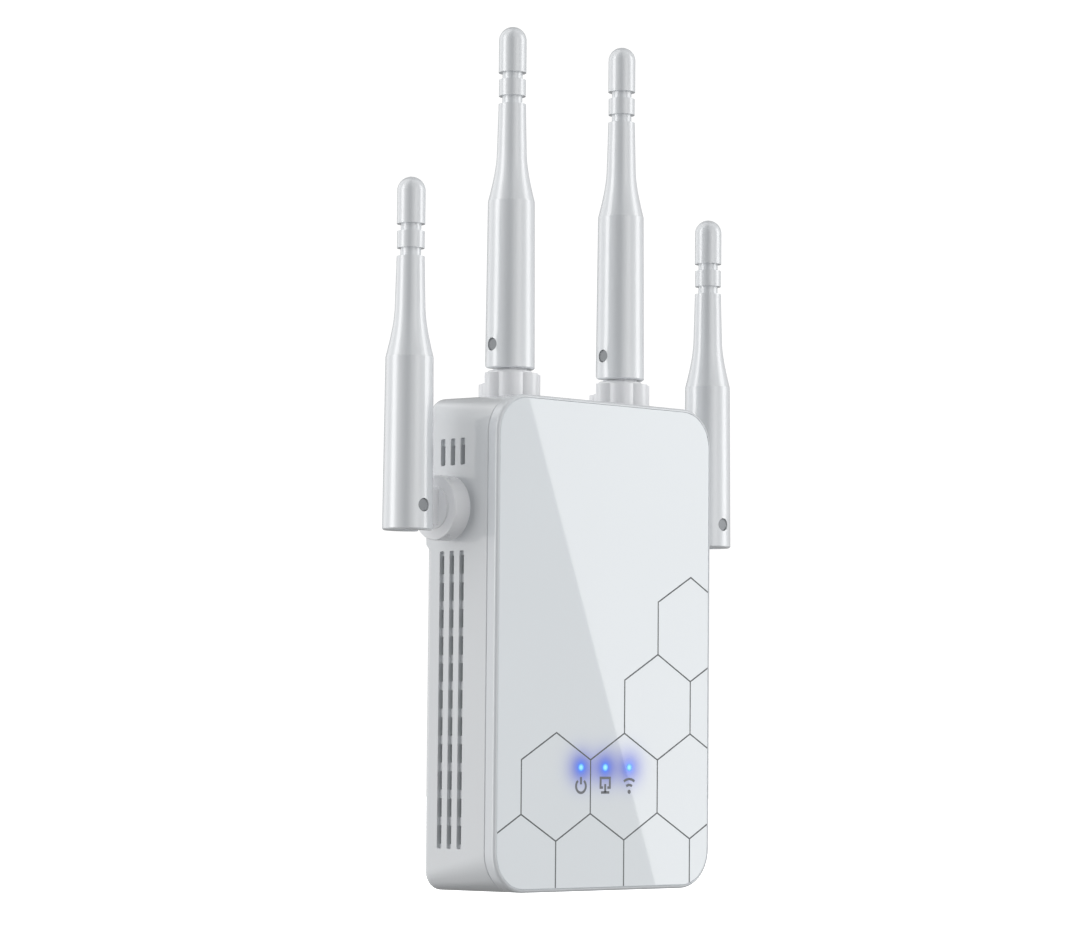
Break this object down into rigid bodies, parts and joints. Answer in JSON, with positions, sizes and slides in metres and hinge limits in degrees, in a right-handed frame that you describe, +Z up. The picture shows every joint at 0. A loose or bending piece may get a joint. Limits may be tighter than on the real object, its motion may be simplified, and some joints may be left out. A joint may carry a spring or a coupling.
{
  "type": "wifi range extender",
  "caption": "Wall plug-in wifi range extender: slim rounded white box with a glossy panel, folding swivel antennas on top and sides, side vents and a rear two-blade plug.",
  "frame": {"origin": "on the wall-side face of the plug platform, midway between the two blades", "axes": "+Y points into the wall along the blades, -Y out of the front panel, +Z up, +X to the right when looking at the front panel"},
  "size_m": [0.091, 0.0493, 0.1717],
  "materials": {
    "casing_plastic": "white, smooth and glossy",
    "panel_plastic": "white, mirror gloss",
    "dark_inlay": "dark grey lines",
    "clear_plastic": "clear, light blue glow",
    "blue_light": "blue status light",
    "circuit_board": "green solder mask",
    "chip_black": "moulded black",
    "shield_metal": "plated steel",
    "pad_rubber": "soft grey blue",
    "sink_aluminium": "anodised",
    "jack_plastic": "dark grey",
    "gold_contacts": "gold plated",
    "blade_brass": "nickel-washed brass",
    "ferrite": "dark ferrite",
    "winding_tape": "yellow tape",
    "capacitor_sleeve": "dark sleeve",
    "fuse_ceramic": "blue coating",
    "lead_insulation": "red insulation",
    "button_plastic": "white",
    "pin_steel": "grey steel",
    "antenna_plastic": "white, satin",
    "radiator_brass": "brass",
    "coax_insulation": "black sheath"
  },
  "bodies": {
    "casing": {"antenna_sockets": "gold_contacts", "blade_carrier": "jack_plastic", "board_screws": "shield_metal", "bulk_capacitors": "capacitor_sleeve", "button_switches": "chip_black", "case_screws": "shield_metal", "ethernet_jack": "jack_plastic", "front_cover": "casing_plastic", "front_panel": "panel_plastic", "heat_sink": "sink_aluminium", "hexagon_inlay": "dark_inlay", "jack_contacts": "gold_contacts", "led_light_guide": "clear_plastic", "left_coax_lead": "coax_insulation", "main_board": "circuit_board", "mains_fuse": "fuse_ceramic", "memory_chip": "chip_black", "network_transformer": "chip_black", "output_capacitor": "capacitor_sleeve", "plug_blades": "blade_brass", "power_board": "circuit_board", "power_board_screws": "shield_metal", "power_lead": "lead_insulation", "power_socket": "jack_plastic", "radio_chips": "chip_black", "radio_shields": "shield_metal", "rear_housing": "casing_plastic", "rectifier": "chip_black", "right_coax_lead": "coax_insulation", "safety_capacitor": "fuse_ceramic", "status_leds": "blue_light", "thermal_pad": "pad_rubber", "top_left_coax_lead": "coax_insulation", "top_right_coax_lead": "coax_insulation", "transformer_core": "ferrite", "transformer_winding": "winding_tape", "wifi_processor": "chip_black"},
    "left_collar": {"left_antenna_collar": "antenna_plastic", "left_antenna_clip": "pin_steel"},
    "left_rod": {"left_antenna_sleeve": "antenna_plastic", "left_antenna_pin": "pin_steel", "left_antenna_radiator": "radiator_brass"},
    "top_left_collar": {"top_left_antenna_collar": "antenna_plastic", "top_left_antenna_clip": "pin_steel"},
    "top_left_rod": {"top_left_antenna_sleeve": "antenna_plastic", "top_left_antenna_pin": "pin_steel", "top_left_antenna_radiator": "radiator_brass"},
    "top_right_collar": {"top_right_antenna_collar": "antenna_plastic", "top_right_antenna_clip": "pin_steel"},
    "top_right_rod": {"top_right_antenna_sleeve": "antenna_plastic", "top_right_antenna_pin": "pin_steel", "top_right_antenna_radiator": "radiator_brass"},
    "right_collar": {"right_antenna_collar": "antenna_plastic", "right_antenna_clip": "pin_steel"},
    "right_rod": {"right_antenna_sleeve": "antenna_plastic", "right_antenna_pin": "pin_steel", "right_antenna_radiator": "radiator_brass"},
    "wps_plunger": {"wps_button": "button_plastic"},
    "reset_plunger": {"reset_button": "button_plastic"}
  },
  "joints": [
    {"name": "left_swivel", "type": "hinge", "parent": "casing", "child": "left_collar", "pos_m": [-0.029, -0.0194, -0.0065], "axis": [1, 0, 0], "range_deg": [-90, 180]},
    {"name": "left_tilt", "type": "hinge", "parent": "left_collar", "child": "left_rod", "pos_m": [-0.0406, -0.0194, -0.0065], "axis": [0, -1, 0], "range_deg": [0, 90]},
    {"name": "top_left_swivel", "type": "hinge", "parent": "casing", "child": "top_left_collar", "pos_m": [-0.015, -0.0198, 0.0157], "axis": [0, 0, 1], "range_deg": [-90, 180]},
    {"name": "top_left_tilt", "type": "hinge", "parent": "top_left_collar", "child": "top_left_rod", "pos_m": [-0.015, -0.0198, 0.02655], "axis": [-1, 0, 0], "range_deg": [0, 90]},
    {"name": "top_right_swivel", "type": "hinge", "parent": "casing", "child": "top_right_collar", "pos_m": [0.015, -0.0198, 0.0157], "axis": [0, 0, -1], "range_deg": [-90, 180]},
    {"name": "top_right_tilt", "type": "hinge", "parent": "top_right_collar", "child": "top_right_rod", "pos_m": [0.015, -0.0198, 0.02655], "axis": [-1, 0, 0], "range_deg": [0, 90]},
    {"name": "right_swivel", "type": "hinge", "parent": "casing", "child": "right_collar", "pos_m": [0.029, -0.0194, -0.0065], "axis": [1, 0, 0], "range_deg": [-90, 180]},
    {"name": "right_tilt", "type": "hinge", "parent": "right_collar", "child": "right_rod", "pos_m": [0.0406, -0.0194, -0.0065], "axis": [0, 1, 0], "range_deg": [0, 90]},
    {"name": "wps_press", "type": "slide", "parent": "casing", "child": "wps_plunger", "axis": [0, 0, 1], "range_m": [0, 0.0005], "stiffness_N_per_m": 600, "springref_m": -0.0008},
    {"name": "reset_press", "type": "slide", "parent": "casing", "child": "reset_plunger", "axis": [0, 0, 1], "range_m": [0, 0.0005], "stiffness_N_per_m": 600, "springref_m": -0.0008}
  ]
}
